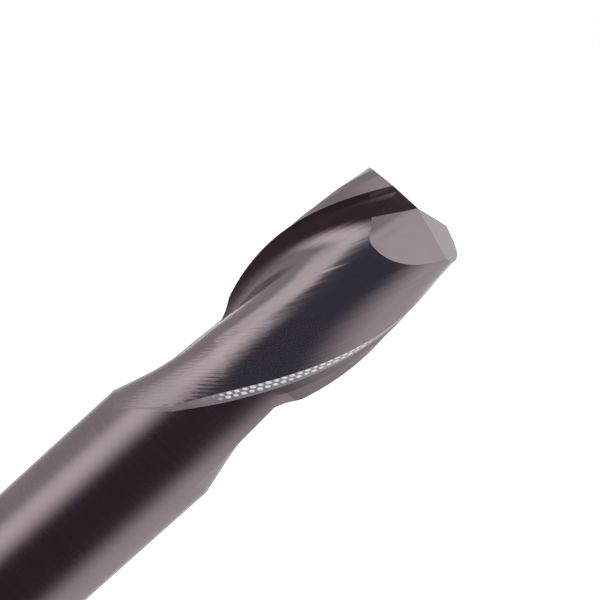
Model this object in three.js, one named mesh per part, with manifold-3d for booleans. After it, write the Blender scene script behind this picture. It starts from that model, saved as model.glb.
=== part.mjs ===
// A two-flute square end mill: right-hand cut, right-hand helix, 6.35 mm over the
// cutting edges on a 6 mm shank. A ground and coated carbide head is brazed into a
// steel shank by a short round spigot.
//
// Millimetres. The origin is the centre of the shank's back face, +Z runs along the
// axis to the cutting end, and the two end cutting edges lie along the X axis.

import * as THREE from 'three';
import { mergeVertices } from 'three/addons/utils/BufferGeometryUtils.js';
import Module from 'manifold-3d';

const wasm = await Module();
wasm.setup();

// Overall sizes
const overallLength = 50;
const cuttingDiameter = 6.35;
const shankDiameter = 6;
const cutLength = 9.2; // from the tip to where the cutting diameter ends
const stepLength = 0.25; // cone between the cutting diameter and the shank diameter

// Flute: its section at the tip, before the helix turns it
const helixAngle = THREE.MathUtils.degToRad(30.7); // at the cutting diameter
const rakeAngle = THREE.MathUtils.degToRad(8);
const rakeDepth = 0.95; // straight part of the rake face
const hookReach = 0.42; // how gently the rake face turns into the core
const coreRadius = 2;
const coreAngle = THREE.MathUtils.degToRad(30); // where the core is thinnest, past the edge
const coreSlope = THREE.MathUtils.degToRad(3);
const coreReach = 2.64; // how long the back of the flute keeps close to the core
const heelDrop = 0.175; // the heel lies this far inside the cutting diameter
const heelAngle = THREE.MathUtils.degToRad(153.5);
const heelSlope = THREE.MathUtils.degToRad(16.3);
const heelReach = 1.66;

// Flute run-out, by lengths from the tip: the rake side stops following the helix, then the
// floor rises to the rod's surface, and the heel side gives way a little. Turns are per mm.
const rakeTurnStart = 10.05;
const rakeTurnRate = THREE.MathUtils.degToRad(12.4);
const heelTurnStart = 13.2;
const heelTurnRate = THREE.MathUtils.degToRad(6.8);
const floorRiseStart = 10.6;
const flutedLength = 15.25;

// Land behind each cutting edge
const primaryRelief = THREE.MathUtils.degToRad(13.5);
const primaryWidth = 0.77;
const heelBevelAtTip = 0.04;
const heelBevelAtRunOut = 0.24;
const fullBevelLength = 12.4; // from the tip

// Cutting end
const endRelief = THREE.MathUtils.degToRad(10);
const endDish = THREE.MathUtils.degToRad(2.5);
const gashRake = THREE.MathUtils.degToRad(5);
const gashSlope = THREE.MathUtils.degToRad(47.5); // of the gash floor
const gashTurn = THREE.MathUtils.degToRad(11.5); // where the floor falls to, past the edge
const gashDrop = 0.01; // of the floor at the centre, below the middle of the end edges
const cornerSlope = THREE.MathUtils.degToRad(55.3); // of the gash's corner, beside the rake
const cornerTurn = THREE.MathUtils.degToRad(56.3);
const cornerDrop = 0.02;

// Joint between the head and the shank
const steelLength = 20;
const spigotRadius = 1.9;
const spigotLength = 8;
const spigotChamfer = 0.3;
const brazeThickness = 0.1;
const shankChamfer = 0.5;

// Mesh fineness, as steps along each feature
const fluteSteps = 24;
const landSteps = 15;
const halfSteps = fluteSteps + 1 + landSteps; // with one step across the heel bevel
const ringSteps = 2 * halfSteps;
const headRingStep = 0.42;
const runOutRingStep = 0.28;
const settlingRings = 8; // between the shoulder and the run-out
const curveSamples = 480;
const stockAboveTip = 0.3; // length that the end grinding takes away

const cuttingRadius = cuttingDiameter / 2;
const shankRadius = shankDiameter / 2;
const twistPerLength = Math.tan(helixAngle) / cuttingRadius;
const vector = (x, y) => new THREE.Vector2(x, y);
const polar = (radius, angle) => vector(radius * Math.cos(angle), radius * Math.sin(angle));
const origin = vector(0, 0);

// The flute's section as one curve: up the rake face from outside, round the core,
// along the back to the heel and on past it, so that it crosses the shank diameter too.
function fluteCurve() {
  const edge = vector(cuttingRadius, 0);
  const core = polar(coreRadius, coreAngle);
  const heel = polar(cuttingRadius - heelDrop, heelAngle);
  const alongRake = polar(1, Math.PI + rakeAngle);
  const alongCore = polar(1, coreAngle + Math.PI / 2 - coreSlope);
  const alongHeel = polar(1, heelAngle + Math.PI / 2 - heelSlope);
  const from = (point, direction, reach) => point.clone().addScaledVector(direction, reach);
  const outside = from(edge, vector(1, 0), shankRadius);
  const hook = new THREE.CubicBezierCurve(
    edge, from(edge, alongRake, rakeDepth), from(core, alongCore, -hookReach), core);
  const back = new THREE.CubicBezierCurve(
    core, from(core, alongCore, coreReach), from(heel, alongHeel, -heelReach), heel);
  const beyond = from(heel, alongHeel, shankRadius);
  const samples = [hook, back].flatMap((curve, i) => curve.getPoints(curveSamples).slice(i));
  return { outside, samples, beyond };
}

const flute = fluteCurve();

// Where the line from a point inside a circle to one outside it crosses the circle.
function crossing(inside, outside, radius) {
  const run = outside.clone().sub(inside);
  const a = run.lengthSq();
  const b = inside.dot(run);
  const c = inside.lengthSq() - radius ** 2;
  return inside.clone().addScaledVector(run, (-b + Math.sqrt(b * b - a * c)) / a);
}

// The part of the flute's section that lies inside the shank diameter.
function fluteInRod() {
  const line = [flute.outside, ...flute.samples, flute.beyond];
  const isInside = (p) => p.length() < shankRadius;
  const first = line.findIndex(isInside);
  const last = line.findLastIndex(isInside);
  const start = crossing(line[first], line[first - 1], shankRadius);
  const end = crossing(line[last], line[last + 1], shankRadius);
  return [start, ...line.slice(first, last + 1), end];
}

const rodFlute = fluteInRod();
const angleOf = (p) => Math.atan2(p.y, p.x);

// The same section at a depth below the tip, as it runs out.
function runOutFlute(depth) {
  const startAngle = angleOf(rodFlute[0]);
  const endAngle = angleOf(rodFlute.at(-1));
  const rakeTurn = rakeTurnRate * Math.max(0, depth - rakeTurnStart);
  const heelTurn = heelTurnRate * Math.max(0, depth - heelTurnStart);
  const risen = (depth - floorRiseStart) / (flutedLength - floorRiseStart);
  const rise = THREE.MathUtils.clamp(risen, 0, 1) ** 2;
  return rodFlute.map((p) => {
    const along = (angleOf(p) - startAngle) / (endAngle - startAngle);
    const angle = angleOf(p) + rakeTurn * (1 - along) - heelTurn * along;
    return polar(THREE.MathUtils.lerp(p.length(), shankRadius, rise), angle);
  });
}

// The length of a polyline up to each of its points.
function lengthsAlong(line) {
  const lengths = [0];
  for (let i = 1; i < line.length; i += 1) {
    lengths.push(lengths[i - 1] + line[i].distanceTo(line[i - 1]));
  }
  return lengths;
}

// The polyline without a length at its end, divided into equal steps.
function divide(line, steps, cutBack) {
  const lengths = lengthsAlong(line);
  const total = lengths.at(-1) - cutBack;
  const points = [];
  let i = 1;
  for (let step = 0; step <= steps; step += 1) {
    const at = (total * step) / steps;
    while (i < line.length - 1 && lengths[i] < at) i += 1;
    const share = (at - lengths[i - 1]) / (lengths[i] - lengths[i - 1]);
    points.push(line[i - 1].clone().lerp(line[i], Math.min(1, share)));
  }
  return points;
}

function bevelAt(depth) {
  const share = Math.min(1, Math.max(0, depth / fullBevelLength));
  return THREE.MathUtils.lerp(heelBevelAtTip, heelBevelAtRunOut, share);
}

// Half of the outline where the rod has its cutting diameter, from one cutting edge
// through the flute and over the land, up to the opposite cutting edge.
function headHalf(depth) {
  const bevel = bevelAt(depth);
  const fluteLine = divide(flute.samples, fluteSteps, bevel);
  const heel = flute.samples.at(-1);
  const edge = vector(-cuttingRadius, 0);
  const shoulder = polar(primaryWidth, Math.PI / 2 - primaryRelief).add(edge);
  const land = divide([edge, shoulder, heel], landSteps, bevel).reverse();
  return [...fluteLine, ...land.slice(0, -1)];
}

// The same where the rod has its shank diameter.
function shankHalf(depth) {
  const bevel = bevelAt(depth);
  const inside = runOutFlute(depth);
  const fluteLine = divide(inside, fluteSteps, bevel);
  const startAngle = angleOf(inside.at(-1)) + bevel / shankRadius;
  const endAngle = Math.PI + angleOf(inside[0]);
  const land = [];
  for (let i = 0; i < landSteps; i += 1) {
    land.push(polar(shankRadius, THREE.MathUtils.lerp(startAngle, endAngle, i / landSteps)));
  }
  return [...fluteLine, ...land];
}

// Both halves, turned by the helix and set at their height.
function fluteRing(half, depth) {
  const turn = -twistPerLength * depth;
  const whole = [...half, ...half.map((p) => p.clone().negate())];
  return whole.map((p) => {
    const turned = p.clone().rotateAround(origin, turn);
    return new THREE.Vector3(turned.x, turned.y, overallLength - depth);
  });
}

// A round ring. The head's spigot, the braze and the shank share its points.
function roundRing(radius, height) {
  return Array.from({ length: ringSteps }, (_, i) => {
    const p = polar(radius, (i / ringSteps) * 2 * Math.PI);
    return new THREE.Vector3(p.x, p.y, height);
  });
}

// Round rings from the shoulder up to the run-out. Their points are spread evenly at the
// shoulder and come to lie as in the ring above.
function settling(above, low, high) {
  const full = 2 * Math.PI;
  return Array.from({ length: settlingRings }, (_, j) => {
    const share = j / settlingRings;
    const height = THREE.MathUtils.lerp(low, high, share);
    return above.map((p, i) => {
      const even = (i / ringSteps) * full;
      const off = THREE.MathUtils.euclideanModulo(angleOf(p) - even + Math.PI, full) - Math.PI;
      const q = polar(shankRadius, even + off * share);
      return new THREE.Vector3(q.x, q.y, height);
    });
  });
}

// A closed skin over rings listed from the bottom to the top, with flat ends.
function skin(rings) {
  const count = ringSteps;
  const positions = rings.flat().flatMap((p) => [p.x, p.y, p.z]);
  const index = [];
  for (let j = 0; j < rings.length - 1; j += 1) {
    const low = j * count;
    const high = low + count;
    for (let i = 0; i < count; i += 1) {
      const next = (i + 1) % count;
      index.push(low + i, low + next, high + next, low + i, high + next, high + i);
    }
  }
  addCap(positions, index, rings[0], 0, true);
  addCap(positions, index, rings.at(-1), (rings.length - 1) * count, false);
  const geometry = new THREE.BufferGeometry();
  geometry.setAttribute('position', new THREE.Float32BufferAttribute(positions, 3));
  geometry.setIndex(index);
  return geometry;
}

function addCap(positions, index, ring, start, facesDown) {
  const middle = positions.length / 3;
  positions.push(0, 0, ring[0].z);
  for (let i = 0; i < ring.length; i += 1) {
    const a = start + i;
    const b = start + ((i + 1) % ring.length);
    index.push(...(facesDown ? [middle, b, a] : [middle, a, b]));
  }
}

// Rings between two depths, by a function that gives half of the outline at a depth.
function ringsBetween(from, to, step, half) {
  const count = Math.ceil((to - from) / step);
  return Array.from({ length: count + 1 }, (_, i) => {
    const depth = THREE.MathUtils.lerp(from, to, i / count);
    return fluteRing(half(depth), depth);
  });
}

// The whole head before its end is ground, from the spigot up to above the tip.
function headBlank() {
  const fluted = [
    ...ringsBetween(-stockAboveTip, cutLength, headRingStep, headHalf),
    ...ringsBetween(cutLength + stepLength, flutedLength, runOutRingStep, shankHalf),
  ].reverse();
  const distance = (p) => Math.abs(angleOf(p));
  const lowest = fluted[0];
  const first = lowest.reduce((best, p, i) => (distance(p) < distance(lowest[best]) ? i : best), 0);
  const ordered = fluted.map((ring) => [...ring.slice(first), ...ring.slice(0, first)]);
  const neckLow = steelLength - spigotLength;
  return skin([
    roundRing(spigotRadius - spigotChamfer, neckLow),
    roundRing(spigotRadius, neckLow + spigotChamfer),
    roundRing(spigotRadius, steelLength),
    ...settling(ordered[0], steelLength, overallLength - flutedLength),
    ...ordered,
  ]);
}

// A solid for a boolean operation, and a geometry made from one.
function solid(geometry) {
  const bare = geometry.clone();
  bare.deleteAttribute('normal');
  bare.deleteAttribute('uv');
  const merged = mergeVertices(bare, 1e-5);
  return new wasm.Manifold(new wasm.Mesh({
    numProp: 3,
    vertProperties: merged.attributes.position.array,
    triVerts: new Uint32Array(merged.index.array),
  }));
}

function geometryOf(body) {
  const mesh = body.getMesh();
  const geometry = new THREE.BufferGeometry();
  geometry.setAttribute('position', new THREE.Float32BufferAttribute(mesh.vertProperties, 3));
  geometry.setIndex([...mesh.triVerts]);
  geometry.computeVertexNormals();
  return geometry;
}

const reachOut = cuttingDiameter; // cutters run this far past the axis
const edgeDrop = cuttingRadius * Math.tan(endDish); // of the end edges' middle, below the tip

// A block across the end, cut back by planes. Each plane is a point measured from the
// tip's centre and the direction that points into what is kept.
function endCutter(planes) {
  const block = new THREE.BoxGeometry(2 * reachOut, 2 * reachOut, 2 * reachOut);
  let body = solid(block.translate(0, 0, overallLength));
  for (const [point, direction] of planes) {
    const unit = direction.clone().normalize();
    const height = point.clone().add(new THREE.Vector3(0, 0, overallLength));
    body = body.trimByPlane(unit.toArray(), unit.dot(height));
  }
  return body;
}

// Directions square to a plane that falls away at a slope toward an angle past the edge.
function upFrom(slope, turn) {
  const across = polar(Math.tan(slope), turn);
  return new THREE.Vector3(across.x, across.y, 1);
}

const edgeCorner = new THREE.Vector3(cuttingRadius, 0, 0);
const onAxis = (drop) => new THREE.Vector3(0, 0, -drop);

// Everything above the relief behind the end edge on +X, which falls away toward -Y.
function reliefCutter() {
  const up = new THREE.Vector3(-Math.tan(endDish), -Math.tan(endRelief), 1);
  const behind = new THREE.Vector3(0, -1, 0);
  return endCutter([[edgeCorner, up], [onAxis(0), behind]]);
}

// The gash in front of the end edge on +X: bounded by the end rake, which leans back
// under the edge, by the gash floor, and by the wheel's bevelled corner between them.
function gashCutter() {
  const alongEdge = new THREE.Vector3(1, 0, Math.tan(endDish));
  const upRake = new THREE.Vector3(0, Math.sin(gashRake), Math.cos(gashRake));
  return endCutter([
    [edgeCorner, upRake.cross(alongEdge)],
    [onAxis(edgeDrop + gashDrop), upFrom(gashSlope, gashTurn)],
    [onAxis(edgeDrop + cornerDrop), upFrom(cornerSlope, cornerTurn)],
  ]);
}

function flutedHead() {
  let body = solid(headBlank());
  for (const cutter of [reliefCutter(), gashCutter()]) {
    for (const side of [1, -1]) {
      body = body.subtract(cutter.scale([side, side, 1]));
    }
  }
  return geometryOf(body);
}

// The filler between the spigot and the socket, and between the two shoulders.
function brazeJoint() {
  const spigotEnd = steelLength - spigotLength;
  const outer = spigotRadius + brazeThickness;
  return skin([
    roundRing(outer, spigotEnd - brazeThickness),
    roundRing(outer, steelLength - brazeThickness),
    roundRing(shankRadius, steelLength - brazeThickness),
    roundRing(shankRadius, steelLength),
    roundRing(spigotRadius, steelLength),
    roundRing(spigotRadius, spigotEnd + spigotChamfer),
    roundRing(spigotRadius - spigotChamfer, spigotEnd),
  ]);
}

// The steel shank, with a flat-bottomed socket in its front and a chamfered back.
function shankBody() {
  const front = steelLength - brazeThickness;
  const socketRadius = spigotRadius + brazeThickness;
  const socketFloor = steelLength - spigotLength - brazeThickness;
  return skin([
    roundRing(shankRadius - shankChamfer, 0),
    roundRing(shankRadius, shankChamfer),
    roundRing(shankRadius, front),
    roundRing(socketRadius, front),
    roundRing(socketRadius, socketFloor),
  ]);
}

function part(name, geometry, look) {
  const mesh = new THREE.Mesh(geometry, new THREE.MeshStandardMaterial(look));
  mesh.name = name;
  return mesh;
}

const endMill = new THREE.Group();
endMill.add(
  part('fluted_head', flutedHead(), { color: 0x5f5259, roughness: 0.32, metalness: 0.9 }),
  part('braze_joint', brazeJoint(), { color: 0xb9a46a, roughness: 0.4, metalness: 1 }),
  part('shank', shankBody(), { color: 0xa9a9ab, roughness: 0.25, metalness: 1 }),
);

export default endMill;
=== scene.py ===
import math

import bmesh
import bpy
import numpy as np
from mathutils import Matrix, Vector


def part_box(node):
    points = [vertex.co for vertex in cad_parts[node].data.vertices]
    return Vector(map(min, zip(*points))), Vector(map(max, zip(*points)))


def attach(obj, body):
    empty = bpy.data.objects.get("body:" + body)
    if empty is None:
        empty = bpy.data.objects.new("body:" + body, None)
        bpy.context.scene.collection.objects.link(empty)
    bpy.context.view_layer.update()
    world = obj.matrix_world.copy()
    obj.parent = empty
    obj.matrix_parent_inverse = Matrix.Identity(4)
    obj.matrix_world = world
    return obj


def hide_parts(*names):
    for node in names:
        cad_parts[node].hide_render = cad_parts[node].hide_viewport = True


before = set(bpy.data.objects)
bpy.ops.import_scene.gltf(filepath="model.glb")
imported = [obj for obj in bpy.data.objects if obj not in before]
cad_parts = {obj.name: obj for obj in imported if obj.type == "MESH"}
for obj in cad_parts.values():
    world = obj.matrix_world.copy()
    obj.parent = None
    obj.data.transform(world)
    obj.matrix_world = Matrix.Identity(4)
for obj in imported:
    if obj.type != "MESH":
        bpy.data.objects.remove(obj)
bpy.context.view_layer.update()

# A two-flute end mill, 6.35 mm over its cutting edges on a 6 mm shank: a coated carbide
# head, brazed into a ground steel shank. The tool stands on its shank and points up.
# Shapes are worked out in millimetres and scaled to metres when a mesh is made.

MM = 0.001

# Sizes that come from the frame
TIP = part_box("fluted_head")[1].z / MM
SPIGOT_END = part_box("fluted_head")[0].z / MM
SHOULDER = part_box("braze_joint")[1].z / MM
SOCKET_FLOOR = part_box("braze_joint")[0].z / MM
SHANK_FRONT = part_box("shank")[1].z / MM
SHANK_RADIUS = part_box("shank")[1].x / MM
CUTTING_RADIUS = 3.175

# Flute, as its section at the tip
TWIST = math.tan(math.radians(30.7)) / CUTTING_RADIUS  # radians per millimetre of depth
RAKE_ANGLE = math.radians(8)
RAKE_DEPTH = 0.95
HOOK_REACH = 0.42
CORE_RADIUS = 2.0
CORE_ANGLE = math.radians(30)
CORE_SLOPE = math.radians(3)
CORE_REACH = 2.64
HEEL_RADIUS = CUTTING_RADIUS - 0.175
HEEL_ANGLE = math.radians(153.5)
HEEL_SLOPE = math.radians(16.3)
HEEL_REACH = 1.66

# Lengths below the tip. Where the flute runs out, its rake side stops following the helix,
# then its floor rises to the rod's surface. Turns are per millimetre.
CUT_LENGTH = 9.2
STEP_LENGTH = 0.25
STEP_SOFTNESS = 0.3
WIDEST_BEVEL_LENGTH = 9.5
RAKE_TURN_START = 10.05
RAKE_TURN_RATE = math.radians(12.4)
HEEL_TURN_START = 13.2
HEEL_TURN_RATE = math.radians(6.8)
FLOOR_RISE_START = 10.6
FLUTED_LENGTH = 15.25

# Land behind each cutting edge, and the bevel along the heel
PRIMARY_RELIEF = math.radians(13.5)
PRIMARY_WIDTH = 0.77
BEVEL_AT_TIP = 0.04
WIDEST_BEVEL = 0.25
BEVEL_AT_END = 0.015
RIPPLE_START = 4.8  # depths between which the heel bevel is dimpled
RIPPLE_END = 11.8
RIPPLE_FADE = 1.0

# Cutting end
END_RELIEF = math.radians(10)
END_DISH = math.radians(2.5)
GASH_RAKE = math.radians(5)
GASH_SLOPE = math.radians(47.5)
GASH_TURN = math.radians(11.5)
GASH_DROP = 0.01  # below the middle of the dished end
CORNER_SLOPE = math.radians(55.3)
CORNER_TURN = math.radians(56.3)
CORNER_DROP = 0.02
ROUNDING_PLANES = 5  # between the gash's floor and its corner
ROUNDING = 0.06  # how far the middle one lies below a straight run between the two

# Joint
SPIGOT_RADIUS = 1.9
SPIGOT_CHAMFER = 0.3
BRAZE_THICKNESS = 0.1
SHANK_CHAMFER = 0.5

# Mesh fineness
CURVE_SAMPLES = 480
FLUTE_STEPS = 120
BEVEL_STEPS = 16
LAND_STEPS = 48
HALF_STEPS = FLUTE_STEPS + BEVEL_STEPS + LAND_STEPS
RING_STEPS = 2 * HALF_STEPS
HEAD_RING_STEP = 0.05
STOCK_ABOVE_TIP = 0.3
BLOCK_SIZE = 4 * CUTTING_RADIUS  # of a cutter before planes cut it back
PLANE_TOLERANCE = 1e-7
SHORTEST_NORMAL = 1e-9
LATHE_STEPS = 160
SETTLING_RINGS = 60  # between the shoulder and the run-out


# ---------------------------------------------------------------- sections of the head

def polar(radius, angle):
    return np.array([radius * math.cos(angle), radius * math.sin(angle)])


def bezier(a, b, c, d):
    t = np.linspace(0, 1, CURVE_SAMPLES + 1)[:, None]
    s = 1 - t
    return s**3 * a + 3 * s**2 * t * b + 3 * s * t**2 * c + t**3 * d


def flute_curve():
    """The flute at the tip: up the rake face, round the core and along the back to the heel."""
    edge = polar(CUTTING_RADIUS, 0)
    core = polar(CORE_RADIUS, CORE_ANGLE)
    heel = polar(HEEL_RADIUS, HEEL_ANGLE)
    along_rake = polar(1, math.pi + RAKE_ANGLE)
    along_core = polar(1, CORE_ANGLE + math.pi / 2 - CORE_SLOPE)
    along_heel = polar(1, HEEL_ANGLE + math.pi / 2 - HEEL_SLOPE)
    hook = bezier(edge, edge + RAKE_DEPTH * along_rake, core - HOOK_REACH * along_core, core)
    back = bezier(core, core + CORE_REACH * along_core, heel - HEEL_REACH * along_heel, heel)
    line = np.concatenate([hook, back[1:]])
    outside = edge + np.array([SHANK_RADIUS, 0])
    beyond = heel + SHANK_RADIUS * along_heel
    return line, outside, beyond


FLUTE, FLUTE_OUTSIDE, FLUTE_BEYOND = flute_curve()


def length_along(line):
    steps = np.linalg.norm(np.diff(line, axis=0), axis=1)
    return np.concatenate([[0], np.cumsum(steps)])


def divide(line, steps, cut_back=0.0):
    """The line, less a length at its end, as equal steps."""
    along = length_along(line)
    at = np.linspace(0, along[-1] - cut_back, steps + 1)
    return np.stack([np.interp(at, along, line[:, i]) for i in (0, 1)], 1)


def crossing(inside, outside, radius):
    """Where the line between a point inside a circle and one outside it crosses the circle."""
    run = outside - inside
    a, b, c = run @ run, inside @ run, inside @ inside - radius**2
    return inside + run * (-b + math.sqrt(b * b - a * c)) / a


def flute_in_rod():
    """The part of the flute's section inside the shank diameter, as radii and angles."""
    line = np.concatenate([[FLUTE_OUTSIDE], FLUTE, [FLUTE_BEYOND]])
    inside = np.nonzero(np.linalg.norm(line, axis=1) < SHANK_RADIUS)[0]
    first, last = inside[0], inside[-1]
    start = crossing(line[first], line[first - 1], SHANK_RADIUS)
    end = crossing(line[last], line[last + 1], SHANK_RADIUS)
    line = np.concatenate([[start], line[first : last + 1], [end]])
    return np.linalg.norm(line, axis=1), np.arctan2(line[:, 1], line[:, 0])


ROD_RADII, ROD_ANGLES = flute_in_rod()


def run_out_flute(depth):
    """The same at a depth, as it runs out."""
    along = (ROD_ANGLES - ROD_ANGLES[0]) / (ROD_ANGLES[-1] - ROD_ANGLES[0])
    rake_turn = RAKE_TURN_RATE * max(0.0, depth - RAKE_TURN_START)
    heel_turn = HEEL_TURN_RATE * max(0.0, depth - HEEL_TURN_START)
    risen = (depth - FLOOR_RISE_START) / (FLUTED_LENGTH - FLOOR_RISE_START)
    rise = min(1.0, max(0.0, risen)) ** 2
    angles = ROD_ANGLES + rake_turn * (1 - along) - heel_turn * along
    radii = ROD_RADII + (SHANK_RADIUS - ROD_RADII) * rise
    return np.stack([radii * np.cos(angles), radii * np.sin(angles)], 1)


def smooth_step(low, high, value):
    share = np.clip((value - low) / (high - low), 0, 1)
    return share * share * (3 - 2 * share)


def bevel_width(depth):
    share = min(1.0, max(0.0, depth / WIDEST_BEVEL_LENGTH))
    width = BEVEL_AT_TIP + (WIDEST_BEVEL - BEVEL_AT_TIP) * share
    closing = smooth_step(RIPPLE_END - RIPPLE_FADE, FLUTED_LENGTH, depth)
    return width + (BEVEL_AT_END - width) * closing


def across(a, b, steps):
    """Points between a and b, without the two ends."""
    shares = np.linspace(0, 1, steps + 1)[1:-1, None]
    return a + (b - a) * shares


def head_half(depth):
    """Half an outline at the cutting diameter, from one cutting edge to just before the other."""
    width = bevel_width(depth)
    flute = divide(FLUTE, FLUTE_STEPS, width)
    edge = polar(CUTTING_RADIUS, math.pi)
    shoulder = edge + polar(PRIMARY_WIDTH, math.pi / 2 - PRIMARY_RELIEF)
    land = divide(np.array([edge, shoulder, FLUTE[-1]]), LAND_STEPS, width)[::-1]
    return np.concatenate([flute, across(flute[-1], land[0], BEVEL_STEPS), land[:-1]])


def shank_half(depth):
    """The same at the shank diameter."""
    inside = run_out_flute(depth)
    width = bevel_width(depth)
    flute = divide(inside, FLUTE_STEPS, width)
    start = math.atan2(inside[-1][1], inside[-1][0]) + width / SHANK_RADIUS
    end = math.pi + math.atan2(inside[0][1], inside[0][0])
    angles = start + (end - start) * np.arange(LAND_STEPS) / LAND_STEPS
    land = SHANK_RADIUS * np.stack([np.cos(angles), np.sin(angles)], 1)
    return np.concatenate([flute, across(flute[-1], land[0], BEVEL_STEPS), land])


def ring_at(half, depth):
    """Both halves, turned by the helix, with their depth."""
    turn = -TWIST * depth
    rotate = np.array([[math.cos(turn), math.sin(turn)], [-math.sin(turn), math.cos(turn)]])
    flat = np.concatenate([half, -half]) @ rotate
    return np.column_stack([flat, np.full(len(flat), TIP - depth)])


def head_rings():
    """Every ring of the fluted length, from above the tip down to the end of the run-out."""
    rings = []
    count = round((FLUTED_LENGTH + STOCK_ABOVE_TIP) / HEAD_RING_STEP)
    for depth in np.linspace(-STOCK_ABOVE_TIP, FLUTED_LENGTH, count + 1):
        share = smooth_step(
            CUT_LENGTH - STEP_SOFTNESS, CUT_LENGTH + STEP_LENGTH + STEP_SOFTNESS, depth)
        half = head_half(depth) * (1 - share) + shank_half(depth) * share
        rings.append(ring_at(half, depth))
    return rings


# ---------------------------------------------------------------- surface detail of the head

RIPPLE_PITCH = 0.3
RIPPLE_HEIGHT = 0.016
RIPPLED_SHARE = 0.75  # of the bevel's width, from the flute; the rest is plain
UNEVENNESS = 0.2  # of a dimple's height, either way from the mean
UNEVEN_TURN = 2.7  # radians from one dimple's depth to the next one's
CREASE_ANGLE = math.radians(57)  # past the edge
CREASE_START, CREASE_END = 1.5, 6.4
CREASE_FADE_IN, CREASE_FADE_OUT = 0.5, 2.0
CREASE_WIDTH = 0.06
CREASE_HEIGHT = 0.016
LINES_START = 6.0  # grinding lines, plainest across the run-out
LINES_FULL = 12.5
LINES_FADE = 0.6
LINES_PITCH = 0.17
LINES_HEIGHT = 0.0045
LINES_LEAD = 1.0  # how steeply they climb round the rod


def detail_rings(rings):
    """Moves the points up to 16 micrometres along the section's normal: two rows of dimples
    that chatter left on the heel bevel, the crease where two passes of the wheel met and
    the grinding lines where it lifted out. A fourth value says how deep in a dimple a point
    is; the bevel's colour turns it into painted white glints."""
    grid = np.array(rings)
    ahead = np.roll(grid, -1, 1) - np.roll(grid, 1, 1)
    normal = np.stack([ahead[..., 1], -ahead[..., 0]], -1)
    normal /= np.maximum(np.linalg.norm(normal, axis=-1, keepdims=True), SHORTEST_NORMAL)
    depth = TIP - grid[..., 2]
    place = np.arange(RING_STEPS) % HALF_STEPS
    over = np.clip((place - FLUTE_STEPS) / (BEVEL_STEPS * RIPPLED_SHARE), 0, 1)
    row = np.abs(np.sin(2 * math.pi * over))
    half_pitch = 0.5 * (over > 0.5)  # by which the second row is shifted
    wave = np.sin(2 * math.pi * (depth / RIPPLE_PITCH + half_pitch))
    fade = smooth_step(RIPPLE_START, RIPPLE_START + RIPPLE_FADE, depth)
    fade = fade * (1 - smooth_step(RIPPLE_END - RIPPLE_FADE, RIPPLE_END, depth))
    # counted from crest to crest, so that one depth holds for a whole dimple
    dimple = np.floor(depth / RIPPLE_PITCH + 0.25 + half_pitch) + half_pitch
    uneven = 1 - UNEVENNESS + UNEVENNESS * np.sin(UNEVEN_TURN * dimple)
    dimple_and_glint = row * fade * uneven * (0.5 + 0.5 * wave)
    move = -RIPPLE_HEIGHT * dimple_and_glint
    in_flute = (place < FLUTE_STEPS) & (place > 0)
    angle = np.arctan2(grid[..., 1], grid[..., 0]) + TWIST * depth
    from_crease = (angle - CREASE_ANGLE + math.pi / 2) % math.pi - math.pi / 2
    off = from_crease * CORE_RADIUS / CREASE_WIDTH
    fade = smooth_step(CREASE_START, CREASE_START + CREASE_FADE_IN, depth)
    fade = fade * (1 - smooth_step(CREASE_END - CREASE_FADE_OUT, CREASE_END, depth))
    move = move + CREASE_HEIGHT * off * np.exp(-off * off) * fade * in_flute
    round_rod = np.arctan2(grid[..., 1], grid[..., 0]) * SHANK_RADIUS
    across_lines = (depth + LINES_LEAD * round_rod) / math.hypot(1, LINES_LEAD)
    fade = smooth_step(LINES_START, LINES_FULL, depth)
    fade = fade * (1 - smooth_step(FLUTED_LENGTH - LINES_FADE, FLUTED_LENGTH, depth))
    lines = np.sin(2 * math.pi * across_lines / LINES_PITCH)
    move = move + LINES_HEIGHT * lines * fade * in_flute
    grid[..., :2] += normal * move[..., None]
    return np.concatenate([grid, dimple_and_glint[..., None]], -1)


# ---------------------------------------------------------------- meshes

(FLUTE_FACE, BEVEL_FACE, LAND_FACE, ROD_FACE, SPIGOT_FACE, END_FACE, FACET_FACE,
 WALL_FACE) = range(8)


def face_kinds():
    """Which surface each column of faces round the head belongs to."""
    place = np.arange(RING_STEPS) % HALF_STEPS
    kinds = np.full(RING_STEPS, LAND_FACE)
    kinds[place < FLUTE_STEPS + BEVEL_STEPS] = BEVEL_FACE
    kinds[place < FLUTE_STEPS] = FLUTE_FACE
    return kinds


def mesh_from(name, points, faces, kinds=None):
    mesh = bpy.data.meshes.new(name)
    mesh.from_pydata([tuple(p) for p in points], [], [tuple(f) for f in faces])
    if kinds is not None:
        mesh.polygons.foreach_set("material_index", np.asarray(kinds, np.int32))
    mesh.update()
    made = bpy.data.objects.new(name, mesh)
    bpy.context.scene.collection.objects.link(made)
    return made


def band(low, high, count):
    """Faces between two rings of a skin, given the index of each one's first point."""
    at = np.arange(count)
    ahead = (at + 1) % count
    return np.stack([low + at, low + ahead, high + ahead, high + at], 1)


def round_ring(radius, height, count=RING_STEPS):
    angles = np.arange(count) / count * 2 * math.pi
    flat = radius * np.stack([np.cos(angles), np.sin(angles)], 1)
    return np.column_stack([flat, np.full(count, height)])


def settling_rings(above, low, high):
    """Round rings up to a height, with their points spread evenly at the bottom and as in
    the ring above at the top."""
    even = np.arange(RING_STEPS) / RING_STEPS * 2 * math.pi
    uneven = np.unwrap(np.arctan2(above[:, 1], above[:, 0]))
    rings = []
    for share in np.linspace(0, 1, SETTLING_RINGS + 1)[:-1]:
        angles = even + (uneven - even) * share
        flat = SHANK_RADIUS * np.stack([np.cos(angles), np.sin(angles)], 1)
        rings.append(np.column_stack([flat, np.full(RING_STEPS, low + (high - low) * share)]))
    return rings


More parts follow.
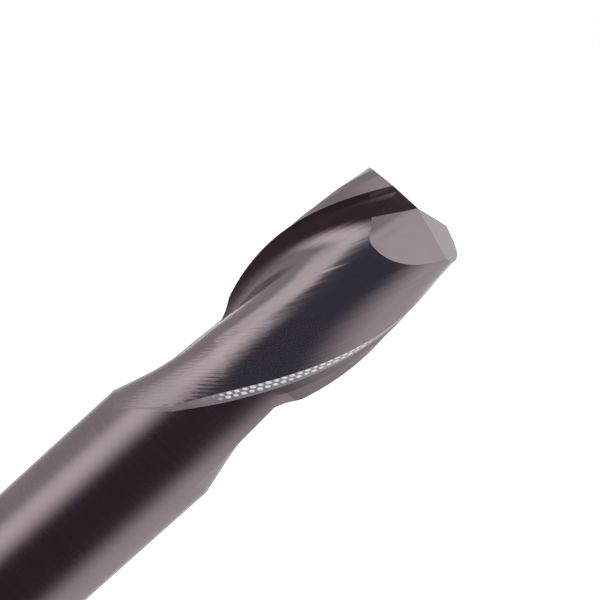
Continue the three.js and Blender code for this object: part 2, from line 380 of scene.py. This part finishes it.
def head_blank():
    """The closed head before its end is ground: spigot, rod, run-out and fluted length."""
    detailed = detail_rings(head_rings())[::-1]
    lowest = detailed[0]
    first = int(np.argmin(np.abs(np.arctan2(lowest[:, 1], lowest[:, 0]))))
    detailed = np.roll(detailed, -first, 1)
    rings, dimple_and_glint = list(detailed[..., :3]), detailed[..., 3]
    fluted_kinds = np.roll(face_kinds(), -first)
    run_out_height = rings[0][0][2]
    spigot = [
        round_ring(SPIGOT_RADIUS - SPIGOT_CHAMFER, SPIGOT_END),
        round_ring(SPIGOT_RADIUS, SPIGOT_END + SPIGOT_CHAMFER),
        round_ring(SPIGOT_RADIUS, SHOULDER),
    ]
    below = spigot + settling_rings(rings[0], SHOULDER, run_out_height)
    whole = below + rings
    points = np.concatenate(whole)
    faces, kinds = [], []
    for level in range(len(whole) - 1):
        faces += band(level * RING_STEPS, (level + 1) * RING_STEPS, RING_STEPS).tolist()
        height = whole[level + 1][0][2]
        if level < len(spigot) - 1:
            kinds += [SPIGOT_FACE] * RING_STEPS
        elif level < len(below):
            kinds += [ROD_FACE] * RING_STEPS
        elif TIP - height > CUT_LENGTH:
            kinds += np.where(fluted_kinds == LAND_FACE, ROD_FACE, fluted_kinds).tolist()
        else:
            kinds += fluted_kinds.tolist()
    faces.append(list(range(RING_STEPS))[::-1])
    kinds.append(SPIGOT_FACE)
    top = (len(whole) - 1) * RING_STEPS
    faces.append(list(range(top, top + RING_STEPS)))
    kinds.append(END_FACE)
    made = mesh_from("head_blank", points, faces, kinds)
    # the dimple depth, which the bevel's colour turns into painted white glints
    stored = made.data.attributes.new("dimple_and_glint", "FLOAT", "POINT")
    no_dimple_and_glint = np.zeros(len(below) * RING_STEPS)
    stored.data.foreach_set("value", np.concatenate([no_dimple_and_glint, dimple_and_glint.ravel()]))
    return made


def half_spaces(name, planes):
    """A block cut back by planes. Each plane is a point, a direction and the kind of its
    faces, and the block keeps the side that the direction points to."""
    cutter = bmesh.new()
    bmesh.ops.create_cube(cutter, size=BLOCK_SIZE)
    for point, direction, kind in planes:
        parts = cutter.verts[:] + cutter.edges[:] + cutter.faces[:]
        cut = bmesh.ops.bisect_plane(
            cutter, geom=parts, dist=PLANE_TOLERANCE, plane_co=point, plane_no=direction,
            clear_inner=True)
        edges = [e for e in cut["geom_cut"] if isinstance(e, bmesh.types.BMEdge)]
        for face in bmesh.ops.contextual_create(cutter, geom=edges)["faces"]:
            face.material_index = kind
    bmesh.ops.recalc_face_normals(cutter, faces=cutter.faces[:])
    bmesh.ops.translate(cutter, verts=cutter.verts[:], vec=(0, 0, TIP))
    mesh = bpy.data.meshes.new(name)
    cutter.to_mesh(mesh)
    cutter.free()
    made = bpy.data.objects.new(name, mesh)
    bpy.context.scene.collection.objects.link(made)
    return made


def up_from(slope, turn):
    """Square to a plane that falls away at a slope toward an angle past the edge."""
    return Vector((math.tan(slope) * math.cos(turn), math.tan(slope) * math.sin(turn), 1))


def end_cutters():
    """What the end grinding takes from the tooth on +X: the relief behind its end edge and
    the gash in front of it, with the tip's centre as origin."""
    corner = Vector((CUTTING_RADIUS, 0, 0))
    behind = Vector((0, -1, 0))
    # the relief's plane holds the end edge and falls toward -Y
    relief_up = Vector((-math.tan(END_DISH), -math.tan(END_RELIEF), 1))
    relief = half_spaces(
        "relief", [(corner, relief_up, END_FACE), ((0, 0, 0), behind, END_FACE)])
    edge_direction = Vector((1, 0, math.tan(END_DISH)))
    down_rake = Vector((0, -math.sin(GASH_RAKE), -math.cos(GASH_RAKE)))
    front = edge_direction.cross(down_rake)
    if front.y < 0:
        front.negate()
    middle = -CUTTING_RADIUS * math.tan(END_DISH)
    floor_up, corner_up = up_from(GASH_SLOPE, GASH_TURN), up_from(CORNER_SLOPE, CORNER_TURN)
    planes = [(corner, front, WALL_FACE)]
    # the floor, the corner beside the rake, and the planes that round the line between them
    for step in range(ROUNDING_PLANES + 2):
        share = step / (ROUNDING_PLANES + 1)
        drop = GASH_DROP + (CORNER_DROP - GASH_DROP) * share - ROUNDING * 4 * share * (1 - share)
        point = Vector((0, 0, middle - drop))
        planes.append((point, floor_up.lerp(corner_up, share), FACET_FACE))
    return [relief, half_spaces("gash", planes)]


def cut_away(body, cutter):
    """Takes the cutter's shape from the body for good."""
    step = body.modifiers.new("cut", "BOOLEAN")
    step.operation = "DIFFERENCE"
    step.object = cutter
    step.solver = "MANIFOLD"
    graph = bpy.context.evaluated_depsgraph_get()
    done = bpy.data.meshes.new_from_object(body.evaluated_get(graph))
    body.modifiers.clear()
    body.data = done


def fluted_head():
    body = head_blank()
    for cutter in end_cutters():
        for side in (1, -1):
            cutter.scale = (side, side, 1)
            bpy.context.view_layer.update()
            cut_away(body, cutter)
        bpy.data.objects.remove(cutter)
    body.name = "coated_head"
    body.data.name = "coated_head"
    return body


def lathe(name, profile):
    """A closed solid of revolution from its outline, listed upward on the outside."""
    rings = [round_ring(radius, height, LATHE_STEPS) for radius, height in profile]
    points = np.concatenate(rings)
    faces = []
    for level in range(len(rings) - 1):
        faces += band(level * LATHE_STEPS, (level + 1) * LATHE_STEPS, LATHE_STEPS).tolist()
    faces.append(list(range(LATHE_STEPS))[::-1])
    top = (len(rings) - 1) * LATHE_STEPS
    faces.append(list(range(top, top + LATHE_STEPS)))
    return mesh_from(name, points, faces)


def braze_ring():
    outer = SPIGOT_RADIUS + BRAZE_THICKNESS
    return lathe("braze_ring", [
        (outer, SOCKET_FLOOR),
        (outer, SHANK_FRONT),
        (SHANK_RADIUS, SHANK_FRONT),
        (SHANK_RADIUS, SHOULDER),
        (SPIGOT_RADIUS, SHOULDER),
        (SPIGOT_RADIUS, SPIGOT_END + SPIGOT_CHAMFER),
        (SPIGOT_RADIUS - SPIGOT_CHAMFER, SPIGOT_END),
    ])


def steel_shank():
    socket = SPIGOT_RADIUS + BRAZE_THICKNESS
    return lathe("steel_shank", [
        (SHANK_RADIUS - SHANK_CHAMFER, 0),
        (SHANK_RADIUS, SHANK_CHAMFER),
        (SHANK_RADIUS, SHANK_FRONT / 2),
        (SHANK_RADIUS, SHANK_FRONT),
        (socket, SHANK_FRONT),
        (socket, SOCKET_FLOOR),
    ])


def helix_frame(mesh):
    """Stores each point's place in the tip's section, untwisted, with its depth: the ground
    lines of the flutes run straight along the depth there."""
    count = len(mesh.vertices)
    points = np.empty(count * 3, np.float32)
    mesh.vertices.foreach_get("co", points)
    points = points.reshape(-1, 3)
    depth = TIP - points[:, 2]
    turn = TWIST * depth
    flat_x = points[:, 0] * np.cos(turn) - points[:, 1] * np.sin(turn)
    flat_y = points[:, 0] * np.sin(turn) + points[:, 1] * np.cos(turn)
    stored = mesh.attributes.new("helix_frame", "FLOAT_VECTOR", "POINT")
    stored.data.foreach_set("vector", np.stack([flat_x, flat_y, depth], 1).ravel())


def finish_mesh(made, sharp_angle):
    """Smooth shading with sharp edges, then metres."""
    helix_frame(made.data)
    made.data.shade_smooth()
    made.data.set_sharp_from_angle(angle=math.radians(sharp_angle))
    made.data.transform(Matrix.Scale(MM, 4))
    made.data.update()


# ---------------------------------------------------------------- materials

def add(tree, kind, inputs=None, **settings):
    """A node with its settings, its values and its links."""
    made = tree.nodes.new(kind)
    for key, value in settings.items():
        setattr(made, key, value)
    for key, value in (inputs or {}).items():
        socket = made.inputs[key]
        if isinstance(value, bpy.types.NodeSocket):
            tree.links.new(value, socket)
        else:
            socket.default_value = value
    return made


ALONG = (1.0, 1.0, 0.03)  # stretches of the noise, along which its lines run
ROUND = (0.06, 0.06, 1.0)
ACROSS_END = (1.0, 0.1, 1.0)
ACROSS_GASH = (0.2, 1.0, 0.2)
EVEN = (1.0, 1.0, 1.0)
CLOUD_SCALE = 0.35
FINE_RANGE = (0.3, 0.7)  # values of the noise between which a look changes
BLEND_RANGE = (0.7, 1.3)
BUMP_DISTANCE = 0.01 * MM


def metal(name, colours, roughness, lines, stretch, bump, metallic=1.0):
    """A ground metal. Its fine lines are noise stretched along an axis of the helix frame,
    and they drive the roughness, the bump and, with soft clouds, the colour."""
    material = bpy.data.materials.new(name)
    material.use_nodes = True
    tree = material.node_tree
    tree.nodes.clear()
    place = add(tree, "ShaderNodeAttribute", attribute_name="helix_frame").outputs["Vector"]
    long_way = add(tree, "ShaderNodeMapping", {"Vector": place, "Scale": stretch}).outputs[0]
    fine = add(tree, "ShaderNodeTexNoise", {
        "Vector": long_way, "Scale": lines, "Detail": 3.0, "Roughness": 0.6}).outputs["Fac"]
    soft = add(tree, "ShaderNodeTexNoise", {
        "Vector": place, "Scale": CLOUD_SCALE, "Detail": 2.0}).outputs["Fac"]
    blend = add(tree, "ShaderNodeMath", {0: fine, 1: soft}, operation="ADD").outputs[0]
    mixing = add(tree, "ShaderNodeMapRange", {
        "Value": blend, "From Min": BLEND_RANGE[0], "From Max": BLEND_RANGE[1]}).outputs["Result"]
    colour = add(tree, "ShaderNodeMix", {
        "Factor": mixing, "A": (*colours[0], 1), "B": (*colours[1], 1)}, data_type="RGBA")
    rough = add(tree, "ShaderNodeMapRange", {
        "Value": fine, "From Min": FINE_RANGE[0], "From Max": FINE_RANGE[1],
        "To Min": roughness[0], "To Max": roughness[1]}).outputs["Result"]
    relief = add(tree, "ShaderNodeBump", {
        "Height": fine, "Strength": bump, "Distance": BUMP_DISTANCE}).outputs["Normal"]
    surface = add(tree, "ShaderNodeBsdfPrincipled", {
        "Base Color": colour.outputs[2],
        "Metallic": metallic, "Roughness": rough, "Normal": relief})
    add(tree, "ShaderNodeOutputMaterial", {"Surface": surface.outputs[0]})
    return material


# Colours, each as the two that its noise runs between
COATING = ((0.40, 0.33, 0.345), (0.45, 0.375, 0.39))
DULLED = ((0.36, 0.30, 0.31), (0.41, 0.345, 0.355))
# painted shade: a darker copy of the coating, for the gash walls where shade falls
SHADED = ((0.15, 0.12, 0.13), (0.19, 0.155, 0.165))
CARBIDE = ((0.3, 0.3, 0.31), (0.36, 0.36, 0.37))
STEEL = ((0.50, 0.48, 0.48), (0.56, 0.54, 0.54))
FILLER = ((0.62, 0.50, 0.27), (0.72, 0.60, 0.36))
COARSE_START, COARSE_END = 10.0, 13.5  # depths between which the flutes turn coarser
COARSE_ROUGHNESS = 0.14
# lighter and less metallic than the coating elsewhere: painted sheen along the heel bevel
PAINTED_SHEEN_BEVEL = ((0.52, 0.48, 0.50), (0.64, 0.60, 0.62))
BEVEL_METALLIC = 0.6
BEVEL_DULLING = 0.8  # the length past the dimples over which the bevel takes the land's colour
# painted white glints: the colour the bevel's dimples take, less metallic, to look lit
GLINT_WHITE = (1.0, 0.99, 1.0)
GLINT_RANGE = (0.1, 0.4)  # dimple depths between which the coating gives way to the painted white glint


def depth_in(tree):
    """The depth below the tip, from the helix frame."""
    place = add(tree, "ShaderNodeAttribute", attribute_name="helix_frame").outputs["Vector"]
    return add(tree, "ShaderNodeSeparateXYZ", {"Vector": place}).outputs["Z"]


def flute_material():
    """The coating of the flutes, coarser where they run out."""
    material = metal("coated_flute", COATING, (0.08, 0.17), 9.0, ALONG, 0.8, metallic=0.97)
    tree = material.node_tree
    surface = tree.nodes["Principled BSDF"]
    fine = surface.inputs["Roughness"].links[0].from_socket
    coarser = add(tree, "ShaderNodeMapRange", {
        "Value": depth_in(tree), "From Min": COARSE_START, "From Max": COARSE_END,
        "To Max": COARSE_ROUGHNESS}).outputs["Result"]
    rough = add(tree, "ShaderNodeMath", {0: fine, 1: coarser}, operation="ADD").outputs[0]
    tree.links.new(rough, surface.inputs["Roughness"])
    return material


def bevel_material():
    """The coating of the heel bevel, painted lighter as sheen, with painted white glints in its
    dimples.
    """
    material = metal("coated_bevel_painted_sheen_and_glints", PAINTED_SHEEN_BEVEL, (0.3, 0.45), 9.0, ALONG, 0.3)
    tree = material.node_tree
    surface = tree.nodes["Principled BSDF"]
    ground = surface.inputs["Base Color"].links[0].from_socket
    end = add(tree, "ShaderNodeMapRange", {
        "Value": depth_in(tree), "From Min": RIPPLE_END,
        "From Max": RIPPLE_END + BEVEL_DULLING}).outputs["Result"]
    coated = add(tree, "ShaderNodeMix", {
        "Factor": end, "A": ground, "B": (*DULLED[0], 1)}, data_type="RGBA").outputs[2]
    dimple_and_glint = add(tree, "ShaderNodeAttribute", attribute_name="dimple_and_glint").outputs["Fac"]
    glint = add(tree, "ShaderNodeMapRange", {
        "Value": dimple_and_glint, "From Min": GLINT_RANGE[0], "From Max": GLINT_RANGE[1]}).outputs["Result"]
    # painted white glints in the dimples, over the coating's colour
    colour = add(tree, "ShaderNodeMix", {
        "Factor": glint, "A": coated, "B": (*GLINT_WHITE, 1)}, data_type="RGBA").outputs[2]
    tree.links.new(colour, surface.inputs["Base Color"])
    kept = add(tree, "ShaderNodeMapRange", {
        "Value": glint, "To Min": BEVEL_METALLIC, "To Max": 0.0}).outputs["Result"]
    tree.links.new(kept, surface.inputs["Metallic"])
    return material


def head_materials():
    """In the order of the face kinds."""
    return [
        flute_material(),
        bevel_material(),
        metal("coated_land", DULLED, (0.4, 0.5), 9.0, ALONG, 0.25),
        metal("coated_rod", COATING, (0.24, 0.28), 7.0, ROUND, 0.03),
        metal("bare_carbide", CARBIDE, (0.3, 0.4), 7.0, ALONG, 0.2),
        metal("coated_end", DULLED, (0.25, 0.35), 7.0, ACROSS_END, 0.2),
        metal("coated_facet", COATING, (0.3, 0.4), 7.0, ACROSS_GASH, 0.2),
        metal("coated_wall_painted_shade", SHADED, (0.25, 0.35), 7.0, ACROSS_GASH, 0.2),
    ]


def shank_material():
    return metal("ground_steel", STEEL, (0.2, 0.3), 7.0, ROUND, 0.2)


def braze_material():
    return metal("braze_filler", FILLER, (0.3, 0.45), 3.0, EVEN, 0.5)


# ---------------------------------------------------------------- studio and camera

CAMERA_AZIMUTH = math.radians(25.67)  # from +X toward +Y
CAMERA_DISTANCE = 84.90  # from the axis
CAMERA_HEIGHT = 57.98
CAMERA_PITCH = math.radians(9.690)  # how far it looks down
CAMERA_YAW = math.radians(0.322)  # how far it looks past the axis
CAMERA_ROLL = math.radians(47.906)
CAMERA_LENS = 121.0
SENSOR_WIDTH = 36.0
NEAREST, FARTHEST = 0.005, 10  # what the camera sees, in metres

FLOOR_REACH = 4  # metres from the tool to each edge of the floor
FLOOR_GREY = 0.8
FLOOR_GLOW = 0.8

# Soft lights that stand round the tool, where two overlap only the stronger counts. Each has
# the azimuth of its middle from the camera to the right, half of its width and its soft edge,
# then its lower end with the softness of that end, its upper end with the same, in degrees,
# and its strength.
LIGHTS = [
    (-59, 22, 19, -38, 18, -2.0, 2.5, 0.96),
    (-82, 22, 7, -9, 6, 50, 20, 0.86),
    (-128, 60, 20, -45, 24, 50, 20, 0.33),
    (125, 50, 24, -42, 18, 50, 20, 0.54),
    (106, 44, 32, -8, 5, 50, 20, 0.46),
    (180, 30, 25, -42, 18, 12, 8, 1.0),
    (180, 60, 30, 6, 10, 60, 15, 0.72),
]
AMBIENT_LOW = (0.050, 0.030, 0.045)
AMBIENT_HIGH = (0.058, 0.056, 0.086)
AMBIENT_FADE = (-0.22, -0.05)  # heights of a ray's direction between which they change
TOP_LIGHT = 0.78
TOP_FADE = (0.65, 0.93)


def add_camera():
    """Beside the tip, turned toward the axis, then tilted down and rolled."""
    data = bpy.data.cameras.new("camera")
    data.lens = CAMERA_LENS
    data.sensor_width = SENSOR_WIDTH
    data.clip_start = NEAREST
    data.clip_end = FARTHEST
    camera = bpy.data.objects.new("camera", data)
    place = Vector((
        CAMERA_DISTANCE * math.cos(CAMERA_AZIMUTH),
        CAMERA_DISTANCE * math.sin(CAMERA_AZIMUTH),
        CAMERA_HEIGHT)) * MM
    # a camera without a turn looks straight down
    facing = Matrix.Rotation(CAMERA_AZIMUTH + math.pi / 2 + CAMERA_YAW, 4, "Z")
    tilt = Matrix.Rotation(math.pi / 2 - CAMERA_PITCH, 4, "X")
    roll = Matrix.Rotation(CAMERA_ROLL, 4, "Z")
    camera.matrix_world = Matrix.Translation(place) @ facing @ tilt @ roll
    bpy.context.scene.collection.objects.link(camera)
    bpy.context.scene.camera = camera


def add_studio():
    """Soft lights all round the tool on a dim studio, in front of a white backdrop."""
    world = bpy.data.worlds.new("studio")
    bpy.context.scene.world = world
    world.use_nodes = True
    tree = world.node_tree
    tree.nodes.clear()

    def sums(a, b, operation):
        return add(tree, "ShaderNodeMath", {0: a, 1: b}, operation=operation).outputs[0]

    def fade(value, start, end):
        return add(tree, "ShaderNodeMapRange", {
            "Value": value, "From Min": start, "From Max": end},
            interpolation_type="SMOOTHSTEP").outputs["Result"]

    ray = add(tree, "ShaderNodeTexCoord").outputs["Generated"]
    parts = add(tree, "ShaderNodeSeparateXYZ", {"Vector": ray})
    azimuth = sums(parts.outputs["Y"], parts.outputs["X"], "ARCTAN2")
    up = parts.outputs["Z"]

    def level(degrees):
        return math.sin(math.radians(degrees))

    light = None
    for centre, half, soft, low, low_soft, high, high_soft, strength in LIGHTS:
        off = sums(azimuth, -CAMERA_AZIMUTH - math.radians(centre), "ADD")
        off = add(tree, "ShaderNodeMath", {0: off, 1: math.pi, 2: -math.pi},
                  operation="WRAP").outputs[0]
        off = sums(off, 0.0, "ABSOLUTE")
        glow = fade(off, math.radians(half + soft), math.radians(half - soft))
        glow = sums(glow, fade(up, level(low - low_soft), level(low + low_soft)), "MULTIPLY")
        glow = sums(glow, fade(up, level(high + high_soft), level(high - high_soft)), "MULTIPLY")
        glow = sums(glow, strength, "MULTIPLY")
        light = glow if light is None else sums(light, glow, "MAXIMUM")
    top = sums(fade(up, *TOP_FADE), TOP_LIGHT, "MULTIPLY")
    light = sums(light, top, "MAXIMUM")
    glow = add(tree, "ShaderNodeCombineColor", {"Red": light, "Green": light, "Blue": light})
    dim = add(tree, "ShaderNodeMix", {
        "Factor": fade(up, *AMBIENT_FADE), "A": (*AMBIENT_LOW, 1), "B": (*AMBIENT_HIGH, 1)},
        data_type="RGBA").outputs[2]
    lit = add(tree, "ShaderNodeMix", {
        "Factor": 1.0, "A": glow.outputs[0], "B": dim},
        data_type="RGBA", blend_type="ADD").outputs[2]
    studio = add(tree, "ShaderNodeBackground", {"Color": lit, "Strength": 1.0})
    backdrop = add(tree, "ShaderNodeBackground", {"Color": (1, 1, 1, 1), "Strength": 1.0})
    seen = add(tree, "ShaderNodeLightPath").outputs["Is Camera Ray"]
    both = add(tree, "ShaderNodeMixShader", {0: seen, 1: studio.outputs[0], 2: backdrop.outputs[0]})
    add(tree, "ShaderNodeOutputWorld", {"Surface": both.outputs[0]})


def add_floor():
    """A pale floor under the shank. The tool doesn't mirror it."""
    reach = FLOOR_REACH
    corners = [(-reach, -reach, 0), (reach, -reach, 0), (reach, reach, 0), (-reach, reach, 0)]
    floor = mesh_from("floor", corners, [(0, 1, 2, 3)])
    floor.visible_glossy = False
    material = bpy.data.materials.new("pale_floor")
    material.use_nodes = True
    tree = material.node_tree
    tree.nodes.clear()
    surface = add(tree, "ShaderNodeBsdfPrincipled", {
        "Base Color": (FLOOR_GREY, FLOOR_GREY, FLOOR_GREY, 1), "Roughness": 0.9,
        "Emission Color": (1, 1, 1, 1), "Emission Strength": FLOOR_GLOW})
    add(tree, "ShaderNodeOutputMaterial", {"Surface": surface.outputs[0]})
    floor.data.materials.append(material)


# ---------------------------------------------------------------- the scene

SHARP_ANGLE = 30  # degrees between two faces that meet in a hard edge
HEAD_SHARP_ANGLE = 22


def place_piece(made, node, materials, sharp_angle=SHARP_ANGLE):
    """Gives a mesh its materials by face kind and its place among the CAD nodes."""
    kinds = np.zeros(len(made.data.polygons), np.int32)
    made.data.polygons.foreach_get("material_index", kinds)
    made.data.materials.clear()
    for material in materials:
        made.data.materials.append(material)
    made.data.polygons.foreach_set("material_index", kinds)
    finish_mesh(made, sharp_angle)
    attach(made, "root")
    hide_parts(node)


add_camera()
add_studio()
add_floor()
place_piece(
    fluted_head(), "fluted_head", head_materials(), HEAD_SHARP_ANGLE)
place_piece(braze_ring(), "braze_joint", [braze_material()])
place_piece(steel_shank(), "shank", [shank_material()])

bpy.context.scene.view_settings.view_transform = "Standard"
